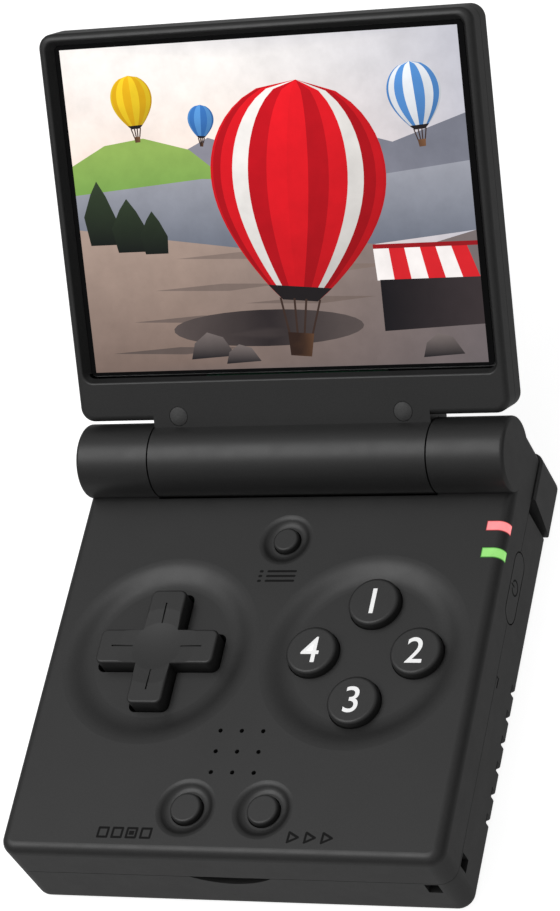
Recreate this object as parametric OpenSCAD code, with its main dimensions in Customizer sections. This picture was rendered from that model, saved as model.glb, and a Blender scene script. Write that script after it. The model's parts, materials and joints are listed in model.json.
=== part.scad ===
// Clamshell handheld game console, lid open.
// Origin at the centre of the base underside, +X to the player's right,
// +Y towards the hinge, +Z up. All sizes in millimetres.

/* [Base] */
// Width of the base
base_w = 85; // [83:0.5:92]
// Depth of the base, front face to the back of the hinge barrel
base_d = 87.2; // [86:0.4:96]
// Thickness of the base, underside to button face
base_h = 19.3; // [18.8:0.1:22]
// Height of the base's upper shell, parting line to button face
upper_h = 8.4; // [8:0.1:8.8]
// Wall of the base shells
base_wall = 1.8; // [1.5:0.1:2]
// Rounding of the front corners seen from above
front_corner_r = 3; // [2.5:0.25:4]
// Rounding of the rear corners seen from above
rear_corner_r = 2; // [2:0.25:3]
// Rounding of the base's long edges
edge_r = 1.9; // [1:0.1:1.9]
// Gap left between shells that meet
seam_gap = 0.1; // [0.05:0.05:0.2]

/* [Hinge] */
// Radius of the hinge barrel
hinge_r = 7; // [6.5:0.1:7.5]
// Height of the hinge axis above the button face
hinge_rise = 2.6; // [2.2:0.1:3.2]
// Length of each outer knuckle
knuckle_l = 14.65; // [12:0.25:17]
// Rounding of the barrel's outer ends
barrel_end_r = 0.7; // [0.6:0.1:1.5]
// Gap between a knuckle and the lid's barrel
knuckle_gap = 0.3; // [0.2:0.05:0.5]
// Clearance round the lid's barrel in its cradle
cradle_clear = 0.35; // [0.25:0.05:0.5]
// Radius of the hinge pins
pin_r = 2.5; // [2:0.1:3]
// Radius of the hinge bodies held in the knuckles
cartridge_r = 4; // [3.5:0.1:4.6]
// Length of pin that runs inside the lid's barrel
pin_reach = 8.5; // [6:0.5:12]
// Running clearance of pins in their bores
pin_clear = 0.05; // [0.03:0.01:0.08]

/* [Lid] */
// How far the lid reaches past each side of the base
lid_over_side = 0.25; // [0:0.05:0.5]
// How far the closed lid reaches past the front face
lid_over_front = 0.6; // [0:0.1:1]
// Thickness of the lid
lid_t = 8.2; // [7.8:0.1:9.5]
// Depth of the lid's front shell
lid_front_t = 4; // [3.8:0.1:4.4]
// Wall of the lid shells
lid_wall = 1.4; // [1.2:0.1:1.6]
// Gap between the lid's bottom edge and the barrel
lid_gap = 0.9; // [0.7:0.1:1.4]
// Gap between lid and button face when closed
closed_gap = 0.5; // [0.4:0.1:0.8]
// Angle between the closed and the open lid
open_angle = 135; // [120:1:150]
// Rounding of the lid's corners
lid_corner_r = 2.7; // [2:0.1:4]
// Rounding of the lid's front edges
lid_front_edge_r = 1.2; // [0.8:0.1:1.3]
// Rounding of the lid's back edges
lid_back_edge_r = 1.6; // [1:0.1:2.2]
// Radius of the two rubber bumpers
bumper_r = 1.75; // [1.5:0.05:2]
// Distance of each bumper from the end of the barrel
bumper_inset = 5.15; // [4:0.05:8]
// Height of the bumpers above the lid's face
bumper_rise = 0.45; // [0.2:0.05:0.5]

/* [Screen] */
// Width of the screen's frame at the sides
frame_side = 2.45; // [2.3:0.05:3]
// Width of the screen's frame at the far end
frame_far = 2.25; // [2.2:0.05:3.5]
// Flat chin below the screen
chin_l = 7.4; // [7:0.1:7.7]
// Width of the slope from the lid's face down to the lens
bevel_w = 1; // [0.7:0.05:1.1]
// Rounding of the lip where face and slope meet
bevel_lip_r = 0.5; // [0.3:0.05:0.6]
// Depth from the lid's face down to the lens
recess_depth = 2; // [1.8:0.1:2.1]
// Rounding of the lens recess's corners
recess_corner_r = 1; // [0.8:0.1:1.5]
// Thickness of the lens
lens_t = 0.7; // [0.6:0.05:0.7]
// Width of the ledge that carries the lens
ledge_w = 0.6; // [0.5:0.05:0.8]
// Clearance round lens and panel
lens_clear = 0.1; // [0.1:0.05:0.3]

/* [Controls] */
// Distance of each control dish's centre from the side of the base
cluster_from_side = 22.5; // [22:0.1:23.2]
// Distance of the control dishes from the front face
cluster_from_front = 41; // [40:0.5:44]
// Radius of the direction pad's dish
dpad_dish_r = 19.3; // [18.6:0.1:19.6]
// Radius of the face buttons' dish
face_dish_r = 19.9; // [19:0.1:20]
// Depth of the control dishes
dish_depth = 1.1; // [0.7:0.1:1.4]
// Width of the sloping dish wall
dish_slope = 6; // [5:0.1:6.6]
// Radius of the face buttons
face_r = 4.85; // [4.4:0.05:5.2]
// Distance of each face button from the dish centre
face_pitch = 10; // [9.6:0.1:10.4]
// Height of the face buttons above the button face
face_rise = 0.6; // [0.3:0.1:0.8]
// Travel of the face buttons
face_travel = 1; // [0.6:0.1:1]
// Length of the direction pad, arm end to arm end
dpad_span = 23.4; // [22:0.2:24]
// Width of each arm of the direction pad
dpad_arm = 7; // [6.2:0.1:7.4]
// Height of the direction pad above the button face
dpad_rise = 1.7; // [1.2:0.1:1.7]
// Tilt of the direction pad to each side, in degrees
dpad_tilt = 3; // [2:0.5:3]
// Clearance round the direction pad
dpad_clear = 0.5; // [0.45:0.05:0.6]
// Clearance round every round button
button_clear = 0.2; // [0.15:0.05:0.25]
// Radius of the start and select buttons
start_r = 2.95; // [2.6:0.05:3.2]
// Radius of the menu button
menu_r = 2.45; // [2.2:0.05:2.8]
// Distance of start and select from the middle
start_x = 7.4; // [7:0.1:8]
// Distance of start and select from the front face
start_from_front = 9.3; // [8.8:0.1:9.6]
// Distance of the menu button from the hinge axis
menu_to_hinge = 16; // [15.4:0.1:18]
// Width of the sunk ring round the small buttons
sunk_w = 2.85; // [2.5:0.05:3.1]
// Depth of the sunk ring round the small buttons
sunk_depth = 0.9; // [0.6:0.1:1]
// Width of the slope at the rim of the sunk ring
sunk_slope = 2.2; // [1.9:0.1:2.4]
// Travel of the small buttons
small_travel = 0.6; // [0.4:0.1:0.6]

/* [Sides] */
// Length of the power button
power_l = 14; // [12:0.5:15]
// Height of the power button
power_h = 4.9; // [4.4:0.1:5.2]
// Distance of power button and volume rocker from the hinge axis
power_to_hinge = 21.2; // [20.4:0.1:24]
// Travel of the power button
power_travel = 0.4; // [0.3:0.1:0.5]
// Length of the reset button
reset_l = 1.8; // [1.6:0.1:2.4]
// Distance of the reset button from the front face
reset_from_front = 39.9; // [37:0.5:42]
// Length of each shoulder button along the back
shoulder_l = 22; // [20:0.5:24]
// How far the shoulder buttons stand proud
shoulder_proud = 0.6; // [0.4:0.1:0.8]
// Turn of a pressed shoulder button, in degrees
shoulder_turn = 2; // [1:0.5:2]
// Width of each indicator light
led_w = 2.05; // [1.8:0.05:2.4]
// Distance of the red light from the hinge axis
led_to_hinge = 13.35; // [12.8:0.05:14.5]
// Distance between the two lights
led_pitch = 5.55; // [5:0.05:6]
// Number of vent notches in the lower right edge
vent_count = 6; // [4:1:7]
// Distance between vent notches
vent_pitch = 5.13; // [4.5:0.01:6]
// Length of each vent notch
vent_l = 1.8; // [1.2:0.1:2.6]
// Height of the vent notches
vent_h = 3.4; // [2.5:0.1:4]
// Depth of the vent notches
vent_depth = 1.2; // [0.8:0.1:1.3]
// Distance of the first vent notch from the front face
vent_from_front = 15.9; // [12:0.1:18]
// Width of the strap hole in the front and in the side
strap_w = 2.6; // [2:0.1:3]
// Width of the finger notch in the front face
notch_w = 15.7; // [12:0.1:20]
// Height of the finger notch
notch_h = 2.4; // [1.6:0.1:3]

/* [Inside] */
// Distance between the speaker holes
speaker_pitch = 4.15; // [3.6:0.05:4.4]
// Radius of each speaker hole
speaker_hole_r = 0.42; // [0.3:0.02:0.6]
// Radius of the speaker
speaker_r = 7.8; // [7:0.1:8]
// Thickness of the main board
board_t = 1.2; // [0.8:0.1:1.2]
// Distance of the speaker from the front face
speaker_from_front = 20.6; // [19.8:0.1:21]
// Length of the battery
battery_l = 50; // [40:1:52]
// Width of the battery
battery_w = 46; // [36:1:50]
// Thickness of the battery
battery_t = 5.6; // [4:0.1:5.8]
// Radius of the headphone jack's bore
jack_r = 1.8; // [1.77:0.01:1.85]
// Depth of the headphone jack's bore
jack_l = 12; // [10:0.5:13]

/* [Hidden] */
$fn = 64;

// Overshoot of every cutting tool past the face it opens
cut = 1;
// Clearance between still parts that sit close together
fit_gap = 0.2;

shell_grey = "#3a3a3b";
button_grey = "#333334";
rubber_grey = "#5a5a5c";

function from_front(d) = d - base_d / 2;

parting_h = base_h - upper_h;
hinge_y = base_d / 2 - hinge_r;
hinge_z = base_h + hinge_rise;
knuckle_in = base_w / 2 - knuckle_l;
barrel_half = knuckle_in - knuckle_gap;
cradle_r = hinge_r + cradle_clear;
cartridge_l = knuckle_l - 3.05;
cradle_wall_r = cradle_r + 1.6;
// Top of the base's back wall between the knuckles
rear_ledge_z = base_h - 2.5;

cavity_w = base_w - 2 * base_wall;
cavity_top = base_h - base_wall;

// The stack under the dishes, from the dish floor down to the board
dish_floor_t = 1.5;
dish_top = base_h - dish_depth;
dish_under = dish_top - dish_floor_t;
flange_t = 0.75;
flange_gap = 0.05;
flange_top = dish_under - flange_gap;
sheet_t = 0.6;
press_gap = 0.1;
sheet_top = dish_under - 2.4;
board_top = sheet_top - sheet_t;
board_z = board_top - board_t;
plunger_z = sheet_top + face_travel + press_gap;
web_rise = 0.4;

cluster_x = base_w / 2 - cluster_from_side;
cluster_y = from_front(cluster_from_front);

// The direction pad turns about a point in the middle of its flange
dpad_disc_r = 7.2;
dpad_disc_t = 1;
dpad_rise_room = dpad_disc_r * sin(dpad_tilt) + 0.15;
dpad_disc_z = dish_under - dpad_rise_room - dpad_disc_t;
pivot_r = 1.1;
pivot_z = dpad_disc_z + dpad_disc_t / 2;
dpad_under = dpad_disc_z + dpad_disc_t;
// Depth and radius of the two dips in the middle of the direction pad
dpad_dips = [[0.25, 120], [0.45, 40]];
dpad_edge_r = 0.45;
face_edge_r = 0.7;
dpad_line_at = 4.8;
dpad_line_l = 4.2;
dpad_line_w = 0.32;
dpad_nub_r = 1.4;
dpad_nub_at = 8;
dpad_nub_l = 0.5;

small_backing_z = base_h - 2.7;
small_flange_t = 0.7;
small_flange_w = 0.85;
small_rise = 0.3;
small_y = from_front(start_from_front);
menu_y = hinge_y - menu_to_hinge;
speaker_y = from_front(speaker_from_front);
speaker_t = 2.8;

// The lid is drawn lying flat with the hinge axis on Y = 0
lift = 180 - open_angle;
lid_offset = hinge_rise - closed_gap;
lid_w = base_w + 2 * lid_over_side;
lid_y0 = hinge_r + lid_gap;
lid_y1 = base_d - hinge_r + lid_over_front;
lid_cavity_w = lid_w - 2 * lid_wall;
recess_w = lid_w - 2 * frame_side;
recess_y = lid_y0 + chin_l + bevel_w;
recess_l = lid_y1 - frame_far - recess_y;
lens_z = -recess_depth - lens_t;
ledge_t = 1;
ledge_z = lens_z - ledge_t;
opening_w = recess_w - 2 * ledge_w;
opening_l = recess_l - 2 * ledge_w;
opening_y = recess_y + ledge_w;
opening_corner_r = recess_corner_r - ledge_w / 2;
backlight_t = 1.9;
bumper_x = barrel_half - bumper_inset;
bumper_y = hinge_r + bumper_r;
bumper_seat = 0.6;
neck_half = barrel_half;
barrel_hollow_r = 4.8;
ribbon_w = 14;
display_board_w = 36;
magnet_l = 6;
magnet_x = lid_w / 2 - 6.75 - magnet_l;
ribbon_t = 0.3;
ribbon_z = -lid_offset - 0.6;

// Side controls lie on the parting line
power_z = parting_h - 0.4;
power_y = hinge_y - power_to_hinge;
power_t = 1.9;
lip_w = 0.7;
lip_t = 0.7;
lip_gap = 0.05;
reset_y = from_front(reset_from_front);
reset_h = 0.8;
reset_z = parting_h - 0.6;
reset_sunk = 0.1;
reset_travel = 0.3;
reset_clear = 0.12;
power_clear = 0.25;
// The volume rocker turns on a round lug inside its lip
rocker_sweep = 0.3;
rocker_lug_r = 0.9;
rocker_lug_x = cavity_w / 2 - rocker_sweep - lip_gap - lip_t;
strap_post = 3.4;
strap_h = 3;
strap_z = parting_h - 3.3;
led_in = 4;
led_drop = 2.15;

// Shoulder buttons hang on pins at their inner ends
shoulder_top = parting_h - 0.3;
shoulder_low = 0.6;
shoulder_h = shoulder_top - shoulder_low;
shoulder_skin = 2;
shoulder_pin_x = base_w / 2 - shoulder_l + 2.2;
shoulder_pin_y = base_d / 2 - 3;
shoulder_pin_r = 1;
shoulder_eye_r = 2.1;
shoulder_side_top = 9.6;
shoulder_side_low = 11.7;
shoulder_clear = 0.9;
pocket_wall = 1.2;
pocket_x = base_w / 2 - shoulder_skin - shoulder_clear + shoulder_proud;
pocket_y = base_d / 2 - shoulder_skin - shoulder_clear + shoulder_proud;
switch_x = pocket_x - 7;

screw_x = base_w / 2 - 9;
screw_ys = [from_front(7.4), hinge_y - 14.2];
screw_r = 0.95;
screw_head_r = 1.9;
screw_head_t = 1.3;
screw_head_z = 2.4;
// The screws end this far under the button face
screw_l = base_h - screw_head_z - screw_head_t - 3.6;
boss_r = 2.7;
well_r = 2.15;

// Board, battery and the switches that the side buttons press
board_margin = 2.3;
shield_l = 18;
shield_h = 1.5;
battery_y = from_front(38);
rib_t = 1.2;
rib_l = 36;
side_switch_l = 6;
side_switch_w = 3;
side_switch_h = 3;
side_switch_stem = 0.2;

// Sockets in the back, card slot in the left side
port_z = 6;
jack_x = 9;
jack_collar_r = 2.9;
jack_body_w = 6.4;
usb_x = -6;
usb_w = 9.6;
usb_h = 3.9;
usb_l = 7.5;
usb_skin = 0.3;
usb_tongue_w = 6.6;
usb_tongue_t = 0.7;
card_y = from_front(26);
card_w = 11;
card_l = 14.2;
card_t = 1;
card_z = 6;
socket_wall = 0.6;
socket_clear = 0.1;

// Screws that hold the lid's shells under the bumpers
lid_screw_seat = 2.1;
lid_screw_l = 4.7;

module lid_place() {
    translate([0, hinge_y, hinge_z]) rotate([lift, 0, 0]) translate([0, 0, lid_offset]) children();
}

module mirrored() {
    children();
    mirror([1, 0, 0]) children();
}

// Outline of a bar seen end on, its upper and lower edges rounded
module bar_section(w, h, top_r, low_r) {
    translate([-w / 2, low_r]) square([w, h - top_r - low_r]);
    if (top_r > 0) {
        translate([top_r - w / 2, h / 2]) square([w - 2 * top_r, h / 2]);
        for (side = [-1, 1]) translate([side * (w / 2 - top_r), h - top_r]) circle(r = top_r);
    }
    if (low_r > 0) {
        translate([low_r - w / 2, 0]) square([w - 2 * low_r, h / 2]);
        for (side = [-1, 1]) translate([side * (w / 2 - low_r), low_r]) circle(r = low_r);
    }
}

// Round post with rounded edges, the corner of a soft block
module post(r, h, top_r, low_r) {
    rotate_extrude() intersection() {
        bar_section(2 * r, h, top_r, low_r);
        square([r, h]);
    }
}

// Bar along X with rounded long edges, from y0 to y1
module bar_x(w, y0, y1, h, top_r, low_r) {
    translate([-w / 2, (y0 + y1) / 2, 0]) rotate([90, 0, 90]) linear_extrude(w)
        bar_section(y1 - y0, h, top_r, low_r);
}

// Bar along Y with rounded long edges
module bar_y(w, y0, y1, h, top_r, low_r) {
    translate([0, y1, 0]) rotate([90, 0, 0]) linear_extrude(y1 - y0) bar_section(w, h, top_r, low_r);
}

// Block from y0 to y1 with rounded corners and rounded edges
module soft_block(w, y0, y1, h, near_r, far_r, top_r, low_r) {
    bar_y(w, y0 + near_r, y1 - far_r, h, top_r, low_r);
    bar_x(w - 2 * near_r, y0, y1 - far_r, h, top_r, low_r);
    bar_x(w - 2 * far_r, y0 + near_r, y1, h, top_r, low_r);
    for (side = [-1, 1]) {
        translate([side * (w / 2 - near_r), y0 + near_r, 0]) post(near_r, h, top_r, low_r);
        translate([side * (w / 2 - far_r), y1 - far_r, 0]) post(far_r, h, top_r, low_r);
    }
}

// Flat plate with rounded corners, centred on X, from y0 to y1
module plate(w, y0, y1, h, r) {
    translate([-w / 2 + r, y0, 0]) cube([w - 2 * r, y1 - y0, h]);
    translate([-w / 2, y0 + r, 0]) cube([w, y1 - y0 - 2 * r, h]);
    for (side = [-1, 1], y = [y0 + r, y1 - r]) translate([side * (w / 2 - r), y, 0]) cylinder(r = r, h = h);
}

module box_x(x0, x1, y0, y1, z0, z1) {
    translate([x0, y0, z0]) cube([x1 - x0, y1 - y0, z1 - z0]);
}

// Cylinder along X from x0 to x1 about a point of the YZ plane
module rod_x(x0, x1, y, z, r) {
    translate([x0, y, z]) rotate([0, 90, 0]) cylinder(r = r, h = x1 - x0);
}

// Pill lying along Y, its thickness along X from x0 to x1
module pill_x(x0, x1, y, z, l, h) {
    box_x(x0, x1, y - l / 2 + h / 2, y + l / 2 - h / 2, z - h / 2, z + h / 2);
    for (end = [-1, 1]) rod_x(x0, x1, y + end * (l - h) / 2, z, h / 2);
}

// A round hollow: flat floor, concave foot arc and convex lip arc of equal radius
module hollow(rim_r, slope, depth) {
    half = slope / 2;
    floor_r = rim_r - slope;
    arc_r = (slope * slope + depth * depth) / (4 * depth);
    translate([0, 0, base_h - depth]) rotate_extrude() {
        square([floor_r, depth + cut]);
        difference() {
            translate([floor_r, 0]) square([half, depth + cut]);
            difference() {
                translate([floor_r, 0]) square([half, depth / 2]);
                translate([floor_r, arc_r]) circle(r = arc_r, $fn = 256);
            }
        }
        translate([floor_r + half, depth / 2]) difference() {
            square([half, depth / 2 + cut]);
            translate([half, depth / 2 - arc_r]) circle(r = arc_r, $fn = 256);
        }
    }
}

module cross(span, arm, z0, z1, corner, top_r) {
    translate([0, 0, z0]) {
        soft_block(arm, -span / 2, span / 2, z1 - z0, corner, corner, top_r, 0);
        rotate([0, 0, 90]) soft_block(arm, -span / 2, span / 2, z1 - z0, corner, corner, top_r, 0);
    }
}

// Where each round button stands, and the size of its cap
module at_face_buttons() {
    for (turn = [0:90:270]) translate([cluster_x, cluster_y, 0]) rotate([0, 0, turn])
        translate([face_pitch, 0, 0]) children();
}

module small_recess(r) {
    ring = r + button_clear;
    hollow(r + sunk_w, sunk_slope, sunk_depth);
    translate([0, 0, small_backing_z - cut]) cylinder(r = ring, h = base_h);
}

module small_button(r, travel) {
    top = base_h + small_rise;
    post_z = small_backing_z - flange_gap - small_flange_t;
    translate([0, 0, post_z]) post(r, top - post_z, 0.5, 0);
    translate([0, 0, post_z]) cylinder(r = r + small_flange_w, h = small_flange_t);
    translate([0, 0, sheet_top + travel + press_gap]) cylinder(r = 1.4, h = post_z - sheet_top - travel);
}

module screw_places() {
    for (side = [-1, 1], y = screw_ys) translate([side * screw_x, y, 0]) children();
}

module led_places() {
    translate([0, hinge_y - led_to_hinge, 0]) children();
}

// Space of one indicator light, wrapped over the right edge of the button face
module led_space(grow) {
    box_x(base_w / 2 - led_in - grow, base_w / 2 + cut, -led_w / 2 - grow, led_w / 2 + grow,
        base_h - led_drop - grow, base_h + cut);
}

module led_pipe(tint) {
    color(tint) {
        intersection() {
            bar_y(base_w, -led_w / 2, led_w / 2, base_h, edge_r, 0);
            led_space(0);
        }
        box_x(base_w / 2 - led_in, base_w / 2 - led_in + 0.8, -led_w / 2, led_w / 2,
            board_top + fit_gap, base_h - 1);
    }
}

module hinge_bores() {
    rod_x(-knuckle_in - cartridge_l - 0.4, knuckle_in + cartridge_l + 0.4, hinge_y, hinge_z,
        cartridge_r + pin_clear);
}

module power_opening() {
    pill_x(cavity_w / 2 - cut, base_w / 2 + cut, power_y, power_z,
        power_l + 2 * power_clear, power_h + 2 * power_clear);
}

module reset_opening() {
    box_x(cavity_w / 2 - cut, base_w / 2 + cut, reset_y - reset_l / 2 - reset_clear,
        reset_y + reset_l / 2 + reset_clear, reset_z - reset_h / 2 - reset_clear,
        reset_z + reset_h / 2 + reset_clear);
}

module side_openings() {
    power_opening();
    mirror([1, 0, 0]) power_opening();
    reset_opening();
}

// Riser that joins one knuckle to the back wall
module knuckle_riser() {
    translate([knuckle_in, hinge_y, parting_h + seam_gap]) linear_extrude(hinge_z - parting_h - seam_gap) {
        square([knuckle_l, hinge_r - rear_corner_r]);
        square([knuckle_l - rear_corner_r, hinge_r]);
        translate([knuckle_l - rear_corner_r, hinge_r - rear_corner_r]) circle(r = rear_corner_r);
    }
}

module knuckle() {
    translate([knuckle_in, hinge_y, hinge_z]) rotate([0, 90, 0]) post(hinge_r, knuckle_l, barrel_end_r, 0);
    knuckle_riser();
}

module top_cavity() {
    difference() {
        translate([0, 0, parting_h - cut])
            plate(cavity_w, from_front(base_wall), -from_front(base_wall), cavity_top - parting_h + cut, 1.5);
        translate([-cluster_x, cluster_y, dish_under]) cylinder(r = dpad_dish_r - 1.2, h = base_h);
        translate([cluster_x, cluster_y, dish_under]) cylinder(r = face_dish_r - 1.2, h = base_h);
        for (side = [-1, 1]) translate([side * start_x, small_y, small_backing_z])
            cylinder(r = start_r + 2.25, h = base_h);
        translate([0, menu_y, small_backing_z]) cylinder(r = menu_r + 2.25, h = base_h);
        rod_x(-base_w, base_w, hinge_y, hinge_z, cradle_wall_r);
        box_x(-base_w, base_w, hinge_y, base_d, parting_h + 2.2, base_h);
        screw_places() translate([0, 0, parting_h - cut]) cylinder(r = boss_r, h = base_h);
    }
}

module base_top_shell() {
    color(shell_grey) difference() {
        union() {
            translate([0, 0, parting_h + seam_gap])
                soft_block(base_w, -base_d / 2, base_d / 2, base_h - parting_h - seam_gap,
                    front_corner_r, rear_corner_r, edge_r, 0);
            mirrored() knuckle();
        }
        top_cavity();
        rod_x(-knuckle_in, knuckle_in, hinge_y, hinge_z, cradle_r);
        box_x(-knuckle_in, knuckle_in, hinge_y, base_d, rear_ledge_z, base_h * 2);
        hinge_bores();
        translate([-cluster_x, cluster_y, 0]) hollow(dpad_dish_r, dish_slope, dish_depth);
        translate([cluster_x, cluster_y, 0]) hollow(face_dish_r, dish_slope, dish_depth);
        at_face_buttons() translate([0, 0, dish_under - cut]) cylinder(r = face_r + button_clear, h = base_h);
        translate([-cluster_x, cluster_y, 0]) cross(dpad_span + 2 * dpad_clear, dpad_arm + 2 * dpad_clear,
            dish_under - cut, base_h + cut, 1.4, 0);
        for (side = [-1, 1]) translate([side * start_x, small_y, 0]) small_recess(start_r);
        translate([0, menu_y, 0]) small_recess(menu_r);
        for (i = [-1, 0, 1], j = [-1, 0, 1])
            translate([i * speaker_pitch, speaker_y + j * speaker_pitch, cavity_top - cut])
                cylinder(r = speaker_hole_r, h = base_wall + 2 * cut);
        led_places() led_space(0.05);
        led_places() translate([0, -led_pitch, 0]) led_space(0.05);
        side_openings();
        screw_places() translate([0, 0, parting_h - cut]) cylinder(r = screw_r + pin_clear,
            h = screw_head_z + screw_head_t + screw_l - parting_h + 0.7 + cut);
    }
}

// Plan of the pocket behind one shoulder button, grown by its wall
module pocket_plan(grow) {
    translate([shoulder_pin_x - shoulder_eye_r - 0.6 - grow, pocket_y - grow])
        square([base_w, base_d]);
    translate([pocket_x - grow, -from_front(shoulder_side_low + shoulder_clear) - grow])
        square([base_w, base_d]);
    translate([shoulder_pin_x, shoulder_pin_y]) circle(r = shoulder_eye_r + 0.5 + grow);
}

module shoulder_pocket(grow, z0, z1) {
    translate([0, 0, z0]) linear_extrude(z1 - z0) intersection() {
        pocket_plan(grow);
        square([base_w / 2 + cut * sign(cut - grow), base_d / 2 + cut * sign(cut - grow)]);
    }
}

// Passage for a wrist strap through the front right corner
module strap_passage() {
    inner_x = base_w / 2 - strap_post - strap_w;
    back_y = from_front(strap_post + 0.4 + strap_w);
    box_x(inner_x, inner_x + strap_w, -base_d, back_y, strap_z, strap_z + strap_h);
    box_x(inner_x, base_w, back_y - strap_w, back_y, strap_z, strap_z + strap_h);
}

module finger_notch() {
    notch_r = (notch_w * notch_w / 4 + notch_h * notch_h) / (2 * notch_h);
    intersection() {
        translate([0, from_front(1), parting_h - notch_h + notch_r]) rotate([90, 0, 0])
            cylinder(r = notch_r, h = 10);
        box_x(-base_w, base_w, -base_d, 0, 0, base_h);
    }
}

module vent_notches() {
    for (i = [0:vent_count - 1]) translate([0, from_front(vent_from_front + i * vent_pitch), 0])
        box_x(base_w / 2 - vent_depth, base_w / 2 + cut, 0, vent_l, -cut, vent_h);
}

module rear_ports() {
    translate([jack_x, base_d / 2 - base_wall - cut, port_z]) rotate([-90, 0, 0])
        cylinder(r = jack_collar_r + 0.1, h = base_wall + 2 * cut);
    translate([usb_x, 0, port_z])
        usb_outline(usb_w + 0.2, usb_h + 0.2, base_d / 2 - base_wall - cut, base_d / 2 + cut);
}

// Rounded slot facing backwards
module usb_outline(w, h, y0, y1) {
    box_x(-w / 2 + h / 2, w / 2 - h / 2, y0, y1, -h / 2, h / 2);
    for (side = [-1, 1]) translate([side * (w - h) / 2, y0, 0]) rotate([-90, 0, 0])
        cylinder(r = h / 2, h = y1 - y0);
}

module card_opening() {
    box_x(-base_w, -cavity_w / 2 + cut, card_y - card_w / 2 - 0.2, card_y + card_w / 2 + 0.2,
        card_z - 0.2, card_z + card_t + 0.2);
}

module base_bottom_shell() {
    color(shell_grey) difference() {
        union() {
            difference() {
                soft_block(base_w, -base_d / 2, base_d / 2, parting_h,
                    front_corner_r, rear_corner_r, 0, edge_r);
                translate([0, 0, base_wall])
                    plate(cavity_w, from_front(base_wall), -from_front(base_wall), base_h, 1.5);
            }
            screw_places() cylinder(r = boss_r, h = parting_h);
            mirrored() shoulder_pocket(pocket_wall, 0.5, parting_h);
            box_x(base_w / 2 - strap_post - strap_w - 1.3, cavity_w / 2 + 0.5, from_front(1),
                from_front(strap_post + strap_w + 1.7), 1, parting_h);
            mirrored() box_x(battery_w / 2 + fit_gap, battery_w / 2 + fit_gap + rib_t,
                battery_y - rib_l / 2, battery_y + rib_l / 2, base_wall / 2, base_wall + battery_t / 2);
        }
        mirrored() shoulder_pocket(0, shoulder_low - 0.3, parting_h + cut);
        screw_places() translate([0, 0, -cut]) cylinder(r = well_r, h = screw_head_z + screw_head_t + cut);
        screw_places() cylinder(r = screw_r + 0.15, h = base_h);
        strap_passage();
        finger_notch();
        vent_notches();
        rear_ports();
        card_opening();
        side_openings();
    }
}

module base_screws() {
    color("#77787a") screw_places() {
        translate([0, 0, screw_head_z]) difference() {
            cylinder(r = screw_head_r, h = screw_head_t);
            for (turn = [0, 90]) rotate([0, 0, turn]) translate([-1, -0.2, -cut]) cube([2, 0.4, cut + 0.7]);
        }
        translate([0, 0, screw_head_z + screw_head_t]) cylinder(r = screw_r, h = screw_l);
    }
}

module face_button() {
    top = base_h + face_rise;
    translate([0, 0, flange_top - flange_t]) {
        post(face_r, top - flange_top + flange_t, face_edge_r, 0);
        cylinder(r = face_r + 1.1, h = flange_t);
    }
    translate([0, 0, plunger_z]) cylinder(r = 2.2, h = flange_top - flange_t - plunger_z + 0.3);
}

module face_button_at(turn) {
    color(button_grey) translate([cluster_x, cluster_y, 0]) rotate([0, 0, turn])
        translate([face_pitch, 0, 0]) rotate([0, 0, -turn]) face_button();
}

module dpad() {
    top = base_h + dpad_rise;
    color(button_grey) translate([-cluster_x, cluster_y, 0]) difference() {
        union() {
            cross(dpad_span, dpad_arm, dpad_under - 0.3, top, 1.3, dpad_edge_r);
            translate([0, 0, dpad_disc_z]) cylinder(r = dpad_disc_r, h = dpad_disc_t);
            for (turn = [0:90:270]) rotate([0, 0, turn])
                translate([dpad_nub_at, 0, dpad_under - 0.3 - dpad_nub_l])
                    cylinder(r = dpad_nub_r, h = dpad_nub_l + 0.2);
        }
        for (dip = dpad_dips) translate([0, 0, top - dip[0] + dip[1]]) sphere(r = dip[1]);
        for (turn = [0:90:270]) rotate([0, 0, turn])
            translate([dpad_line_at, -dpad_line_w / 2, top - 0.35]) cube([dpad_line_l, dpad_line_w, 1]);
        translate([0, 0, pivot_z]) sphere(r = pivot_r + pin_clear);
    }
}

module dpad_pivot() {
    color("#8a8b8e") translate([-cluster_x, cluster_y, pivot_z]) sphere(r = pivot_r);
}

module dpad_membrane() {
    color(rubber_grey) translate([-cluster_x, cluster_y, board_top])
        cylinder(r = dpad_span / 2 + 1.4, h = sheet_t);
}

module face_button_membrane() {
    color(rubber_grey) translate([0, 0, board_top]) {
        translate([cluster_x, cluster_y, 0]) cylinder(r = face_pitch + face_r + 0.35, h = sheet_t);
        at_face_buttons() difference() {
            cylinder(r = 4.2, h = sheet_t + web_rise);
            translate([0, 0, sheet_t]) cylinder(r = 2.6, h = 2);
        }
    }
}

module small_button_membranes() {
    color(rubber_grey) {
        translate([0, small_y, board_top]) plate(2 * start_x + 8, -4, 4, sheet_t, 3);
        translate([0, menu_y, board_top]) cylinder(r = 4, h = sheet_t);
    }
}

module small_button_at(x, y, r) {
    color(button_grey) translate([x, y, 0]) small_button(r, small_travel);
}

module power_button() {
    color(button_grey) {
        pill_x(base_w / 2 - power_t, base_w / 2, power_y, power_z, power_l, power_h);
        pill_x(cavity_w / 2 - lip_gap - lip_t, cavity_w / 2 - lip_gap, power_y, power_z,
            power_l + 2 * lip_w, power_h + 2 * lip_w);
    }
}

module volume_rocker() {
    color(button_grey) mirror([1, 0, 0]) {
        pill_x(rocker_lug_x, base_w / 2 + 0.3, power_y, power_z, power_l - 0.5, power_h - 0.7);
        pill_x(rocker_lug_x, rocker_lug_x + lip_t, power_y, power_z,
            power_l + 2 * lip_w, power_h + 2 * lip_w);
        translate([rocker_lug_x, power_y, power_z - 1.6]) cylinder(r = rocker_lug_r, h = 3.2);
    }
}

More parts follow.
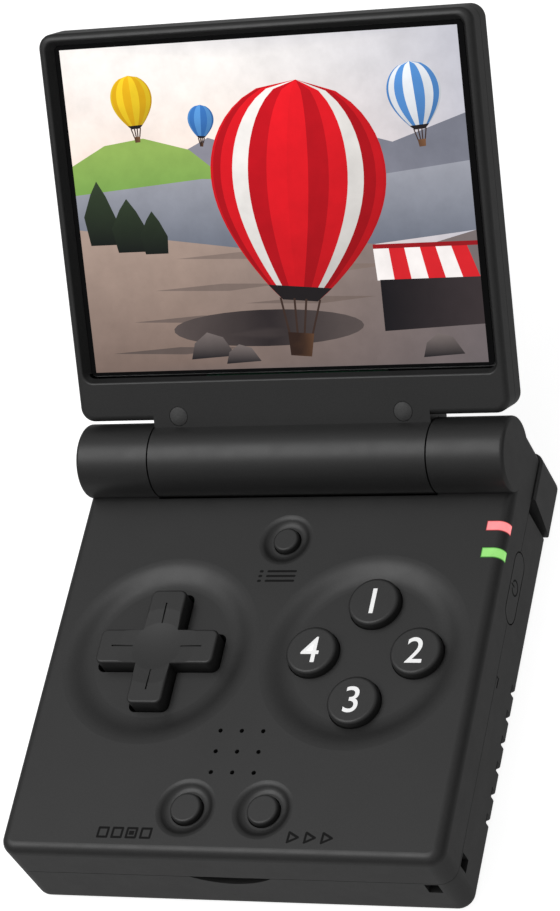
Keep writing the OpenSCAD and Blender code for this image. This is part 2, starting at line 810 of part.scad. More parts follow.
module reset_button() {
    outer = base_w / 2 - reset_sunk;
    color(button_grey) {
        box_x(cavity_w / 2 - 0.5, outer, reset_y - reset_l / 2, reset_y + reset_l / 2,
            reset_z - reset_h / 2, reset_z + reset_h / 2);
        box_x(cavity_w / 2 - 0.05 - 0.6, cavity_w / 2 - 0.05, reset_y - reset_l / 2 - 0.5,
            reset_y + reset_l / 2 + 0.5, reset_z - reset_h / 2 - 0.5, reset_z + reset_h / 2 + 0.5);
    }
}

module side_switches() {
    inner = cavity_w / 2 - lip_gap - lip_t - power_travel - 0.1;
    low = board_z - side_switch_h;
    half = side_switch_l / 2;
    third = side_switch_l / 3;
    apart = side_switch_l - 1.6;
    color("#b9babd") {
        box_x(inner - side_switch_w, inner, power_y - half, power_y + half, low, board_z);
        mirror([1, 0, 0]) for (end = [-1, 1]) box_x(inner - side_switch_w, inner - 2 * side_switch_stem,
            power_y + end * apart - third, power_y + end * apart + third, low, board_z);
        box_x(inner - side_switch_w, inner - side_switch_stem,
            reset_y - third, reset_y + third, low, board_z);
    }
}

// Side outline of a shoulder button's end, leaning forward at the bottom
module shoulder_side_plan() {
    back = base_d / 2 + shoulder_proud;
    polygon([
        [base_d / 2 - shoulder_side_top, shoulder_top], [back + cut, shoulder_top],
        [back + cut, shoulder_low], [base_d / 2 - shoulder_side_low, shoulder_low]
    ]);
}

module shoulder_right() {
    outer_w = base_w / 2 + shoulder_proud;
    outer_d = base_d / 2 + shoulder_proud;
    outer_r = rear_corner_r + shoulder_proud;
    inner_x = base_w / 2 - shoulder_l;
    color(button_grey) difference() {
        union() {
            intersection() {
                translate([0, 0, shoulder_low])
                    soft_block(2 * outer_w, 0, outer_d, shoulder_h, outer_r, outer_r, 0.5, 0.5);
                union() {
                    box_x(inner_x, base_w, outer_d - shoulder_skin, base_d, 0, base_h);
                    translate([outer_w - shoulder_skin, 0, 0]) rotate([90, 0, 90]) linear_extrude(base_w)
                        shoulder_side_plan();
                }
            }
            translate([shoulder_pin_x, shoulder_pin_y, shoulder_low + 0.4])
                cylinder(r = shoulder_eye_r, h = shoulder_h - 0.8);
        }
        translate([shoulder_pin_x, shoulder_pin_y, -cut])
            cylinder(r = shoulder_pin_r + pin_clear, h = base_h);
    }
}

module shoulder_left() {
    mirror([1, 0, 0]) shoulder_right();
}

module shoulder_pins() {
    color("silver") mirrored() translate([shoulder_pin_x, shoulder_pin_y, shoulder_low - 0.3])
        cylinder(r = shoulder_pin_r, h = parting_h - shoulder_low + 0.3);
}

module shoulder_switches() {
    reach = (switch_x - shoulder_pin_x) * sin(shoulder_turn) + 0.1;
    face = base_d / 2 + shoulder_proud - shoulder_skin;
    color("#b9babd") mirrored() box_x(switch_x - 2, switch_x + 2, pocket_y, face - reach, 3.5, 7.5);
}

module hinge_cartridge() {
    color("#9a9c9f") {
        rod_x(-knuckle_in - cartridge_l, -knuckle_in, hinge_y, hinge_z, cartridge_r);
        rod_x(-knuckle_in - 1, -barrel_half + pin_reach, hinge_y, hinge_z, pin_r);
    }
}

module hinge_bush() {
    color("#9a9c9f") difference() {
        union() {
            rod_x(knuckle_in, knuckle_in + cartridge_l, hinge_y, hinge_z, cartridge_r);
            rod_x(barrel_half - pin_reach, knuckle_in + 1, hinge_y, hinge_z, pin_r);
        }
        rod_x(0, base_w, hinge_y, hinge_z, pin_r - 0.9);
    }
}

module main_board() {
    color("#1f5a3a") difference() {
        translate([0, 0, board_z]) plate(cavity_w - 2 * board_margin, from_front(base_wall + 1.2),
            hinge_y - cradle_wall_r + board_margin / 2, board_t, 1.5);
        screw_places() cylinder(r = boss_r + fit_gap, h = base_h);
        mirrored() translate([0, 0, board_z - cut]) linear_extrude(base_h) pocket_plan(pocket_wall + fit_gap);
    }
}

module processor_shield() {
    color("#b9babd") box_x(-shield_l / 2, shield_l / 2, cluster_y - shield_l / 2, cluster_y + shield_l / 2,
        board_z - shield_h, board_z);
}

module battery() {
    color("#2c3f66") translate([0, 0, base_wall])
        soft_block(battery_w, battery_y - battery_l / 2, battery_y + battery_l / 2, battery_t,
            2, 2, 1.2, 1.2);
}

module speaker() {
    color("#6d6e70") translate([0, speaker_y, cavity_top - fit_gap / 2 - speaker_t]) {
        cylinder(r = speaker_r, h = speaker_t - 0.6);
        cylinder(r = speaker_r - 1.2, h = speaker_t);
    }
}

module led_pipe_red() {
    led_places() led_pipe("#fa8287");
}

module led_pipe_green() {
    led_places() translate([0, -led_pitch, 0]) led_pipe("#7de669");
}

module headphone_jack() {
    back = base_d / 2;
    color("#1c1c1d") difference() {
        union() {
            box_x(jack_x - jack_body_w / 2, jack_x + jack_body_w / 2, back - base_wall - jack_l - 1,
                back - base_wall - fit_gap, port_z - jack_collar_r, port_z + jack_collar_r);
            translate([jack_x, back - base_wall - 0.5, port_z]) rotate([-90, 0, 0])
                cylinder(r = jack_collar_r, h = base_wall + 0.5 - 0.1);
        }
        translate([jack_x, back - 0.1 - jack_l, port_z]) rotate([-90, 0, 0])
            cylinder(r = jack_r, h = jack_l + cut);
    }
}

module usb_port() {
    back = base_d / 2 - 0.1;
    color("#b9babd") translate([usb_x, 0, port_z]) difference() {
        usb_outline(usb_w, usb_h, back - usb_l, back);
        difference() {
            usb_outline(usb_w - 2 * usb_skin, usb_h - 2 * usb_skin, back - usb_l + 1, back + cut);
            box_x(-usb_tongue_w / 2, usb_tongue_w / 2, back - usb_l + 0.5, back - 3 * usb_skin,
                -usb_tongue_t / 2, usb_tongue_t / 2);
        }
    }
}

module card_socket() {
    inner = -cavity_w / 2 + 0.1;
    depth = card_l - 0.7;
    half = card_w / 2 + socket_clear;
    color("#b9babd") difference() {
        box_x(inner, inner + depth, card_y - half - socket_wall, card_y + half + socket_wall,
            card_z - socket_wall, card_z + card_t + socket_wall);
        box_x(inner - cut, inner + depth - socket_wall, card_y - half, card_y + half,
            card_z - socket_clear, card_z + card_t + socket_clear);
    }
}

module memory_card() {
    color("#141414") box_x(-base_w / 2 + 0.4, -base_w / 2 + 0.4 + card_l,
        card_y - card_w / 2, card_y + card_w / 2,
        card_z, card_z + card_t);
}

module lid_front_shell() {
    color(shell_grey) lid_place() difference() {
        union() {
            translate([0, 0, -lid_front_t + seam_gap])
                soft_block(lid_w, lid_y0, lid_y1, lid_front_t - seam_gap,
                    lid_corner_r, lid_corner_r, lid_front_edge_r, 0);
            rod_x(-barrel_half, barrel_half, 0, -lid_offset, hinge_r);
            box_x(-neck_half, neck_half, 0, lid_y0 + lid_wall, -lid_front_t + seam_gap, 0);
        }
        // Sloping frame, recess for the lens, opening for the panel and hollow behind both
        frame_slope();
        translate([0, 0, lens_z]) plate(recess_w, recess_y, recess_y + recess_l, 10, recess_corner_r);
        translate([0, 0, -10]) plate(opening_w, opening_y, opening_y + opening_l, 20, opening_corner_r);
        translate([0, 0, -10]) plate(lid_cavity_w, opening_y - 3, lid_y1 - lid_wall, 10 + ledge_z, 1.2);
        difference() {
            translate([0, 0, -10]) plate(lid_cavity_w, lid_y0 + lid_wall, opening_y, 10 - lid_wall, 1.2);
            bumper_places() translate([0, 0, -10]) cylinder(r = 2.3, h = 20);
        }
        // Bores for the hinge pins, hollow and slot for the ribbon
        rod_x(-base_w, base_w, 0, -lid_offset, pin_r + pin_clear);
        rod_x(pin_reach + 0.5 - barrel_half, barrel_half - pin_reach - 0.5, 0, -lid_offset, barrel_hollow_r);
        box_x(-ribbon_w / 2 - 0.5, ribbon_w / 2 + 0.5, 0, lid_y0 + 2 * lid_wall,
            ribbon_z - 0.4, ribbon_z + ribbon_t + 0.4);
        bumper_places() {
            translate([0, 0, -bumper_seat]) cylinder(r = bumper_r + 0.1, h = cut + 1);
            translate([0, 0, -10]) cylinder(r = screw_r + 0.15, h = 10);
            translate([0, 0, -lid_screw_seat]) cylinder(r = screw_head_r - 0.2, h = 3);
        }
    }
}

// Half section of the screen's recess: a wall leaning out to a rounded lip, half its width at the lens
module recess_half(half, side) {
    lean = atan2(recess_depth, bevel_w);
    top = half + bevel_w + bevel_lip_r * tan(lean / 2);
    lip = [for (i = [0:6]) let (a = lean * (1 - i / 6))
        [side * (top - bevel_lip_r * sin(a)), bevel_lip_r * (cos(a) - 1) + 0.01]];
    polygon(concat([[0, 1], [0, -recess_depth], [side * half, -recess_depth]], lip, [[side * top, 1]]));
}

// The slope from the lid's face down to the lens
module frame_slope() {
    r = recess_corner_r;
    far = recess_y + recess_l;
    translate([0, far - r, 0]) rotate([90, 0, 0]) linear_extrude(recess_l - 2 * r)
        for (side = [-1, 1]) recess_half(recess_w / 2, side);
    translate([r - recess_w / 2, (recess_y + far) / 2, 0]) rotate([90, 0, 90])
        linear_extrude(recess_w - 2 * r) for (side = [-1, 1]) recess_half(recess_l / 2, side);
    for (side = [-1, 1], y = [recess_y + r, far - r]) translate([side * (recess_w / 2 - r), y, 0])
        rotate_extrude() recess_half(r, 1);
}

module bumper_places() {
    for (side = [-1, 1]) translate([side * bumper_x, bumper_y, 0]) children();
}

module lid_rear_shell() {
    color(shell_grey) lid_place() difference() {
        union() {
            translate([0, 0, -lid_t])
                soft_block(lid_w, lid_y0, lid_y1, lid_t - lid_front_t,
                    lid_corner_r, lid_corner_r, 0, lid_back_edge_r);
            box_x(-neck_half, neck_half, 0, lid_y0 + lid_back_edge_r + 1, -lid_t, -lid_front_t);
        }
        difference() {
            translate([0, 0, lid_wall - lid_t])
                plate(lid_cavity_w, lid_y0 + lid_wall, lid_y1 - lid_wall, lid_t, 1.2);
            bumper_places() translate([0, 0, -lid_t]) cylinder(r = 2.3, h = lid_t - lid_front_t);
        }
        rod_x(-base_w, base_w, 0, -lid_offset, hinge_r + seam_gap);
        bumper_places() translate([0, 0, -lid_t + 1]) cylinder(r = screw_r + pin_clear, h = lid_t);
    }
}

module lid_screws() {
    color("#77787a") lid_place() bumper_places() {
        translate([0, 0, -lid_screw_seat]) difference() {
            cylinder(r = screw_head_r - 0.4, h = screw_head_t);
            for (turn = [0, 90]) rotate([0, 0, turn]) translate([-0.9, -0.2, screw_head_t - 0.6])
                cube([1.8, 0.4, 1]);
        }
        translate([0, 0, 0.2 - lid_screw_seat - lid_screw_l]) cylinder(r = screw_r, h = lid_screw_l);
    }
}

module lid_bumpers() {
    dome_r = (bumper_r * bumper_r + bumper_rise * bumper_rise) / (2 * bumper_rise);
    color(rubber_grey) lid_place() bumper_places() {
        translate([0, 0, -bumper_seat]) cylinder(r = bumper_r, h = bumper_seat);
        intersection() {
            translate([0, 0, bumper_rise - dome_r]) sphere(r = dome_r);
            translate([0, 0, -bumper_seat / 2]) cylinder(r = bumper_r, h = bumper_seat + bumper_rise);
        }
    }
}

module screen_lens() {
    color("#0b0b0d") lid_place() translate([0, 0, lens_z])
        plate(recess_w - 2 * lens_clear, recess_y + lens_clear, recess_y + recess_l - lens_clear, lens_t,
            recess_corner_r - lens_clear);
}

module lcd_panel() {
    color("#8fa7c4") lid_place() translate([0, 0, ledge_z]) plate(opening_w - 2 * lens_clear,
        opening_y + lens_clear, opening_y + opening_l - lens_clear, ledge_t, opening_corner_r - lens_clear);
}

module backlight_unit() {
    color("#c9cacc") lid_place() translate([0, 0, ledge_z - 0.05 - backlight_t])
        plate(lid_cavity_w - 2 * fit_gap, opening_y - 1, lid_y1 - lid_wall - fit_gap, backlight_t, 1.2);
}

module display_board() {
    color("#1f5a3a") lid_place() box_x(-display_board_w / 2, display_board_w / 2, lid_y0 + lid_wall + fit_gap,
        opening_y - 1.2 - fit_gap, lid_wall - lid_t + 1, lid_wall - lid_t + 2);
}

module display_ribbon() {
    color("#b8782f") lid_place() {
        rod = barrel_hollow_r - 1.5;
        difference() {
            rod_x(-ribbon_w / 2, ribbon_w / 2 + 6, 0, -lid_offset, rod);
            rod_x(-base_w, base_w, 0, -lid_offset, rod - ribbon_t);
        }
        box_x(-ribbon_w / 2, ribbon_w / 2, rod - 0.5, lid_y0 + 2 * lid_wall, ribbon_z, ribbon_z + ribbon_t);
    }
}

module lid_magnet() {
    near = lid_y0 + lid_wall + fit_gap;
    top = -lid_wall - fit_gap / 2;
    color("#a8a9ab") lid_place() box_x(magnet_x, magnet_x + magnet_l, near, near + magnet_l / 2,
        top - magnet_l / 4, top);
}

base_top_shell();
base_bottom_shell();
lid_front_shell();
lid_rear_shell();
screen_lens();
lcd_panel();
backlight_unit();
display_board();
display_ribbon();
lid_magnet();
lid_bumpers();
lid_screws();
hinge_cartridge();
hinge_bush();
main_board();
processor_shield();
battery();
speaker();
face_button_membrane();
dpad_membrane();
small_button_membranes();
led_pipe_red();
led_pipe_green();
dpad();
dpad_pivot();
face_button_at(90);  // face_button_top
face_button_at(0);  // face_button_right
face_button_at(270);  // face_button_bottom
face_button_at(180);  // face_button_left
small_button_at(0, menu_y, menu_r);  // menu_button
small_button_at(-start_x, small_y, start_r);  // select_button
small_button_at(start_x, small_y, start_r);  // start_button
power_button();
reset_button();
volume_rocker();
side_switches();
shoulder_left();
shoulder_right();
shoulder_pins();
shoulder_switches();
headphone_jack();
usb_port();
card_socket();
memory_card();
base_screws();
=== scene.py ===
# Clamshell handheld game console, lid open, on a plain pale floor.
import json
import math
import bmesh
import bpy
from mathutils import Matrix, Vector
from mathutils.geometry import delaunay_2d_cdt


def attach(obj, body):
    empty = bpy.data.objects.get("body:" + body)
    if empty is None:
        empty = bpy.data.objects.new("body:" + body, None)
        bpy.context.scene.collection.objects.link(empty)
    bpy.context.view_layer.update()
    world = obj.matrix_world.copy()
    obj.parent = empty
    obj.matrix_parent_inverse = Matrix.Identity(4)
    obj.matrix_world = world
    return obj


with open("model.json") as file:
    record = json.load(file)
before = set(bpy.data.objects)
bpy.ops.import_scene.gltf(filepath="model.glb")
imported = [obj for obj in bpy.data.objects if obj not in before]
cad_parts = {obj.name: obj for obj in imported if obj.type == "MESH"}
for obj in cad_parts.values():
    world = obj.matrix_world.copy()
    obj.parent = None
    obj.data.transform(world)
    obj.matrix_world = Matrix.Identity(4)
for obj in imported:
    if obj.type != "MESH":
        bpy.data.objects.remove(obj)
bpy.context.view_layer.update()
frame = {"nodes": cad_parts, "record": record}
nodes = frame["nodes"]
scene = bpy.context.scene

MM = 0.001
# Hinge axis, distance of the lid's face from it, sine and cosine of the lid's 45 degrees, height of the deck
HINGE_Y, HINGE_Z = 36.6, 21.9
LID_OFFSET = 2.1
HALF = math.sqrt(0.5)
TOP_Z = 19.3


def mm(x, y, z):
    return Vector((x * MM, y * MM, z * MM))


def lid_point(x, s, z):
    """A point of the lid: x across, s from the hinge axis along the lid, z out of its face, in mm."""
    return mm(x, HINGE_Y + (s - z - LID_OFFSET) * HALF, HINGE_Z + (s + z + LID_OFFSET) * HALF)


# ---------------------------------------------------------------- camera

# From the fit to the photograph: the directions right, down and ahead, the eye in mm, and the focal length
# and principal point in pixels
ROWS = ((0.91689226, 0.19924851, -0.3458448),
        (-0.01648271, -0.84684525, -0.5315839),
        (-0.39879432, 0.49310562, -0.7731817))
EYE = (273.155, -303.268, 557.330)
FOCAL_PX, CENTRE_X, CENTRE_Y = 3751.674, 285.322, 450.783
IMAGE_W, IMAGE_H = 560, 911
SENSOR_W = 36.0


def make_camera():
    data = bpy.data.cameras.new("camera")
    data.sensor_fit = "AUTO"
    data.sensor_width = SENSOR_W
    data.lens = FOCAL_PX * SENSOR_W / IMAGE_H
    data.shift_x = (IMAGE_W / 2 - CENTRE_X) / IMAGE_H
    data.shift_y = (CENTRE_Y - IMAGE_H / 2) / IMAGE_H
    data.clip_start = 0.05
    data.clip_end = 20
    obj = bpy.data.objects.new("camera", data)
    right, down, ahead = (Vector(r) for r in ROWS)
    m = Matrix((right, -down, -ahead)).transposed().to_4x4()
    m.translation = mm(*EYE)
    obj.matrix_world = m
    scene.collection.objects.link(obj)
    scene.camera = obj


# ---------------------------------------------------------------- materials

# Socket numbers of the colour form of the Mix node
MIX_SHARE, MIX_A, MIX_B, MIX_RESULT = 0, 6, 7, 2


class Nodes:
    """Small helper that builds one node material."""

    def __init__(self, name):
        self.mat = bpy.data.materials.new(name)
        self.mat.use_nodes = True
        self.tree = self.mat.node_tree
        self.shader = self.tree.nodes["Principled BSDF"]

    def add(self, kind, **values):
        """A new node; each value sets a property of that name, or else an input."""
        node = self.tree.nodes.new(kind)
        for key, value in values.items():
            if hasattr(node, key):
                setattr(node, key, value)
            else:
                node.inputs[key.replace("_", " ")].default_value = value
        return node

    def link(self, a, b):
        self.tree.links.new(a, b)

    def set(self, name, value):
        self.shader.inputs[name].default_value = value

    def noise(self, scale, detail=2.0, rough=0.5):
        node = self.add("ShaderNodeTexNoise", Scale=scale, Detail=detail, Roughness=rough)
        self.link(self.coords().outputs["Object"], node.inputs["Vector"])
        return node

    def coords(self):
        if not hasattr(self, "_coords"):
            self._coords = self.add("ShaderNodeTexCoord")
        return self._coords

    def ramp(self, source, stops):
        node = self.add("ShaderNodeValToRGB")
        for i, (at, colour) in enumerate(stops):
            e = node.color_ramp.elements[i] if i < 2 else node.color_ramp.elements.new(at)
            e.position = at
            e.color = colour if len(colour) == 4 else (*colour, 1)
        self.link(source, node.inputs["Fac"])
        return node

    def spread(self, source, low, high):
        """The middle of a noise's range, 0.3 to 0.7, stretched to low .. high."""
        node = self.add("ShaderNodeMapRange")
        node.inputs["From Min"].default_value = 0.3
        node.inputs["From Max"].default_value = 0.7
        node.inputs["To Min"].default_value = low
        node.inputs["To Max"].default_value = high
        self.link(source, node.inputs["Value"])
        return node.outputs["Result"]

    def math(self, kind, a, b=0.0):
        node = self.add("ShaderNodeMath", operation=kind)
        for socket, value in zip(node.inputs, (a, b)):
            if isinstance(value, bpy.types.NodeSocket):
                self.link(value, socket)
            else:
                socket.default_value = value
        return node.outputs["Value"]

    def bump(self, source, strength, depth_mm):
        """Drives the shader's normal from a height."""
        node = self.add("ShaderNodeBump", Strength=strength, Distance=depth_mm * MM)
        self.link(source, node.inputs["Height"])
        self.link(node.outputs["Normal"], self.shader.inputs["Normal"])

    def multiply(self, a, b):
        """Product of two colours, each a socket or a constant."""
        node = self.add("ShaderNodeMix", data_type="RGBA", blend_type="MULTIPLY")
        node.inputs[MIX_SHARE].default_value = 1.0
        for number, value in ((MIX_A, a), (MIX_B, b)):
            if isinstance(value, bpy.types.NodeSocket):
                self.link(value, node.inputs[number])
            else:
                node.inputs[number].default_value = value
        return node.outputs[MIX_RESULT]

    def feed(self, name, source):
        self.link(source, self.shader.inputs[name])


def grey(v):
    return (v, v, v, 1)


def moulded(name, tone, rough, grain=0.12, spec=0.5, grain_mm=0.28):
    """Moulded plastic: fine spark-eroded grain, faint clouding, uneven sheen."""
    cloud, sheen = 0.05, 0.035
    n = Nodes(name)
    fine = n.noise(1 / (grain_mm * MM), 3.0, 0.6)
    clouds = n.noise(55, 3.0, 0.55)
    smear = n.noise(240, 4.0, 0.6)
    colour = n.ramp(clouds.outputs["Fac"], [(0.3, grey(tone * (1 - cloud))), (0.7, grey(tone * (1 + cloud)))])
    speck = n.ramp(fine.outputs["Fac"], [(0.38, (0.86, 0.86, 0.87, 1)), (0.62, (1.12, 1.12, 1.11, 1))])
    n.feed("Base Color", n.multiply(colour.outputs["Color"], speck.outputs["Color"]))
    n.feed("Roughness", n.spread(smear.outputs["Fac"], rough - sheen, rough + sheen))
    n.set("Specular IOR Level", spec)
    n.bump(fine.outputs["Fac"], grain, 0.04)
    return n.mat


def metal(name, tone, rough, stretch=(1, 1, 1)):
    """Bare or plated metal; stretch draws its noise out into grinding lines."""
    n = Nodes(name)
    mapping = n.add("ShaderNodeMapping")
    mapping.inputs["Scale"].default_value = stretch
    n.link(n.coords().outputs["Object"], mapping.inputs["Vector"])
    lines = n.add("ShaderNodeTexNoise", Scale=900.0, Detail=3.0)
    n.link(mapping.outputs["Vector"], lines.inputs["Vector"])
    colour = n.ramp(lines.outputs["Fac"], [(0.3, grey(tone * 0.85)), (0.7, grey(tone * 1.1))])
    n.feed("Base Color", colour.outputs["Color"])
    n.feed("Roughness", n.spread(lines.outputs["Fac"], rough - 0.06, rough + 0.08))
    n.set("Metallic", 1.0)
    n.bump(lines.outputs["Fac"], 0.1, 0.03)
    return n.mat


def tinted(name, dark, light, rough):
    """Any coloured inner part: two close tones in a noise, with a faint bump."""
    sheen = 0.05
    n = Nodes(name)
    noise = n.noise(300, 4.0, 0.6)
    colour = n.ramp(noise.outputs["Fac"], [(0.35, dark), (0.65, light)])
    n.feed("Base Color", colour.outputs["Color"])
    n.feed("Roughness", n.spread(noise.outputs["Fac"], rough - sheen, rough + sheen))
    n.bump(noise.outputs["Fac"], 0.08, 0.05)
    return n.mat


def board_green():
    """Solder mask over a fine pattern of traces."""
    n = Nodes("board")
    bricks = n.add("ShaderNodeTexBrick", Scale=160.0)
    bricks.inputs["Color1"].default_value = (0.012, 0.10, 0.045, 1)
    bricks.inputs["Color2"].default_value = (0.016, 0.13, 0.06, 1)
    bricks.inputs["Mortar"].default_value = (0.03, 0.20, 0.09, 1)
    bricks.inputs["Mortar Size"].default_value = 0.03
    n.link(n.coords().outputs["Object"], bricks.inputs["Vector"])
    n.feed("Base Color", bricks.outputs["Color"])
    n.feed("Roughness", n.spread(n.noise(700, 3.0).outputs["Fac"], 0.28, 0.4))
    n.bump(bricks.outputs["Fac"], 0.2, 0.04)
    return n.mat


def light_pipe(name, tone, rim, middle):
    """Lit translucent pipe: pale core, deeper colour along its rim; middle is its centre's y in mm."""
    n = Nodes(name)
    haze = n.noise(420, 3.0, 0.6)
    core = n.ramp(haze.outputs["Fac"], [(0.3, tuple(c * 0.86 for c in tone)), (0.7, tone)])
    place = n.add("ShaderNodeSeparateXYZ")
    n.link(n.coords().outputs["Object"], place.inputs["Vector"])
    off = n.math("ABSOLUTE", n.math("SUBTRACT", place.outputs["Y"], middle * MM))
    depth = n.math("MINIMUM", n.math("SUBTRACT", PIPE_HALF * MM, off),
                   n.math("MINIMUM", n.math("SUBTRACT", place.outputs["X"], PIPE_X * MM),
                          n.math("SUBTRACT", place.outputs["Z"], PIPE_Z * MM)))
    share = n.add("ShaderNodeMapRange")
    share.inputs["From Min"].default_value = PIPE_RIM[0] * MM
    share.inputs["From Max"].default_value = PIPE_RIM[1] * MM
    n.link(depth, share.inputs["Value"])
    mix = n.add("ShaderNodeMix", data_type="RGBA")
    n.link(share.outputs["Result"], mix.inputs[MIX_SHARE])
    mix.inputs[MIX_A].default_value = (*rim, 1)
    n.link(core.outputs["Color"], mix.inputs[MIX_B])
    n.feed("Base Color", mix.outputs[MIX_RESULT])
    n.feed("Emission Color", mix.outputs[MIX_RESULT])
    n.set("Emission Strength", 0.85)
    n.feed("Roughness", n.spread(haze.outputs["Fac"], 0.24, 0.36))
    return n.mat


def lens_glass():
    """Lens with a black printed back, low in shine."""
    n = Nodes("lens_glass")
    fine = n.noise(160, 4.0, 0.6)
    colour = n.ramp(fine.outputs["Fac"], [(0.3, (0.0008, 0.0008, 0.001)), (0.7, (0.0016, 0.0016, 0.002))])
    n.feed("Base Color", colour.outputs["Color"])
    n.feed("Roughness", n.spread(fine.outputs["Fac"], 0.07, 0.13))
    n.set("Specular IOR Level", 0.12)
    return n.mat


def lit_picture():
    """The lit picture: colours from the mesh with a soft unevenness, under a low shine."""
    n = Nodes("lit_picture")
    paint = n.add("ShaderNodeVertexColor", layer_name="paint")
    soft = n.noise(220, 5.0, 0.6)
    tone = n.ramp(soft.outputs["Fac"], [(0.3, grey(0.93)), (0.7, grey(1.06))])
    picture = n.multiply(paint.outputs["Color"], tone.outputs["Color"])
    n.feed("Emission Color", picture)
    n.set("Emission Strength", 1.0)
    n.feed("Base Color", n.multiply(picture, grey(0.04)))
    n.feed("Roughness", n.spread(soft.outputs["Fac"], 0.14, 0.2))
    n.set("Specular IOR Level", 0.2)
    return n.mat


def ink(name, tone, rough, painted_glow=0.0, spec=0.5):
    """Printed or engraved marks, slightly uneven in tone; a nonzero glow adds emission, painted light that
    makes the print brighter than the lamps light it.
    """
    sheen = 0.05
    n = Nodes(name)
    n.set("Specular IOR Level", spec)
    fine = n.noise(2600, 3.0, 0.6)
    colour = n.ramp(fine.outputs["Fac"], [(0.3, grey(tone * 0.93)), (0.7, grey(tone))])
    n.feed("Base Color", colour.outputs["Color"])
    n.feed("Roughness", n.spread(fine.outputs["Fac"], rough - sheen, rough + sheen))
    # Emission on a printed mark: a painted glow, since the mark is no lamp
    if painted_glow:
        n.feed("Emission Color", colour.outputs["Color"])
        n.set("Emission Strength", painted_glow)
    return n.mat


# The light pipes' left edge, lower edge and half width, and where their rim's colour starts and ends, in mm
PIPE_X, PIPE_Z, PIPE_HALF = 38.5, 17.15, 1.02
PIPE_RIM = (0.02, 0.26)

MATERIALS = {
    "body_grey": moulded("shell_plastic", 0.022, 0.38),
    "button_grey": moulded("button_plastic", 0.026, 0.39, grain=0.06, grain_mm=0.2),
    "bumper_rubber": moulded("bumper_rubber", 0.07, 0.62, grain=0.2, spec=0.3),
    "lens_glass": lens_glass(),
    "lcd": tinted("panel_glass", (0.02, 0.02, 0.025), (0.035, 0.035, 0.04), 0.25),
    "backlight": tinted("backlight_film", (0.55, 0.55, 0.55), (0.66, 0.66, 0.66), 0.5),
    "board": board_green(),
    "ribbon": tinted("ribbon_film", (0.34, 0.14, 0.02), (0.45, 0.2, 0.04), 0.3),
    "magnet": metal("nickel", 0.55, 0.28),
    "screws": metal("black_zinc", 0.22, 0.38),
    "steel": metal("ground_steel", 0.55, 0.3, (1, 12, 12)),
    "shield": metal("tin_plate", 0.62, 0.34, (6, 1, 1)),
    "battery_wrap": tinted("battery_film", (0.018, 0.04, 0.10), (0.03, 0.06, 0.15), 0.3),
    "speaker_metal": metal("painted_steel", 0.2, 0.5),
    "membrane": tinted("silicone", (0.09, 0.09, 0.10), (0.12, 0.12, 0.13), 0.6),
    "led_red": light_pipe("red_light", (0.95, 0.24, 0.25), (0.13, 0.012, 0.012), 23.25),
    "led_green": light_pipe("green_light", (0.24, 0.58, 0.15), (0.02, 0.13, 0.015), 17.7),
    "port_black": moulded("port_plastic", 0.014, 0.5),
    "card_black": moulded("card_plastic", 0.012, 0.42),
}
# White digits: white print plus a painted glow, emission strength 0.4 that brightens them beyond the lamps'
# light
WHITE_INK_PAINTED_GLOW = ink("white_ink_painted_glow", 0.86, 0.45, 0.4)
DARK_INK = ink("engraved_dark", 0.006, 0.7, spec=0.2)


def dress_nodes():
    """Gives each CAD node the material of the slot that the record names."""
    slots = {s["node"]: s["material_slot"] for s in frame["record"]["subparts"]}
    for name, obj in nodes.items():
        mat = MATERIALS[slots[name]]
        if not obj.material_slots:
            obj.data.materials.append(mat)
        for s in obj.material_slots:
            s.material = mat


# ---------------------------------------------------------------- meshes

def arc(cx, cy, rx, ry, a0, a1, steps):
    """Points of an elliptic arc from angle a0 to a1, in degrees."""
    return [(cx + rx * math.cos(math.radians(a0 + (a1 - a0) * i / steps)),
             cy + ry * math.sin(math.radians(a0 + (a1 - a0) * i / steps))) for i in range(steps + 1)]


def stroke(points, width, closed=False):
    """Flat outline of a line of even width through the points, as quads with round joints."""
    out = []
    for (x0, y0), (x1, y1) in zip(points, points[1:] + points[:1] if closed else points[1:]):
        d = math.hypot(x1 - x0, y1 - y0)
        nx, ny = -(y1 - y0) / d * width / 2, (x1 - x0) / d * width / 2
        out.append([(x0 + nx, y0 + ny), (x1 + nx, y1 + ny), (x1 - nx, y1 - ny), (x0 - nx, y0 - ny)])
    for x, y in points:
        out.append(arc(x, y, width / 2, width / 2, 0, 330, 11))
    return out


def inside(poly, x, y):
    """True if the point lies in the polygon, by counting edges crossed."""
    hit = False
    x0, y0 = poly[-1]
    for x1, y1 in poly:
        if (y1 > y) != (y0 > y) and x < (x0 - x1) * (y - y1) / (y0 - y1) + x1:
            hit = not hit
        x0, y0 = x1, y1
    return hit


def flatten(polygons, extra=()):
    """Overlapping polygons as one flat sheet: its points, and (triangle, number of the topmost polygon)."""
    verts, edges = [], []
    for poly in polygons:
        start, count = len(verts), len(poly)
        verts += [Vector(p) for p in poly]
        edges += [(start + i, start + (i + 1) % count) for i in range(count)]
    verts += [Vector(p) for p in extra]
    v, _, faces, _, _, _ = delaunay_2d_cdt(verts, edges, [], 0, 1e-5)
    boxes = [(min(p[0] for p in q), max(p[0] for p in q), min(p[1] for p in q), max(p[1] for p in q))
             for q in polygons]
    out = []
    for face in faces:
        x = sum(v[i].x for i in face) / len(face)
        y = sum(v[i].y for i in face) / len(face)
        for k in range(len(polygons) - 1, -1, -1):
            b = boxes[k]
            if b[0] <= x <= b[1] and b[2] <= y <= b[3] and inside(polygons[k], x, y):
                out.append((face, k))
                break
    return v, out


def add_object(name, mesh, body):
    obj = bpy.data.objects.new(name, mesh)
    scene.collection.objects.link(obj)
    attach(obj, body)
    return obj


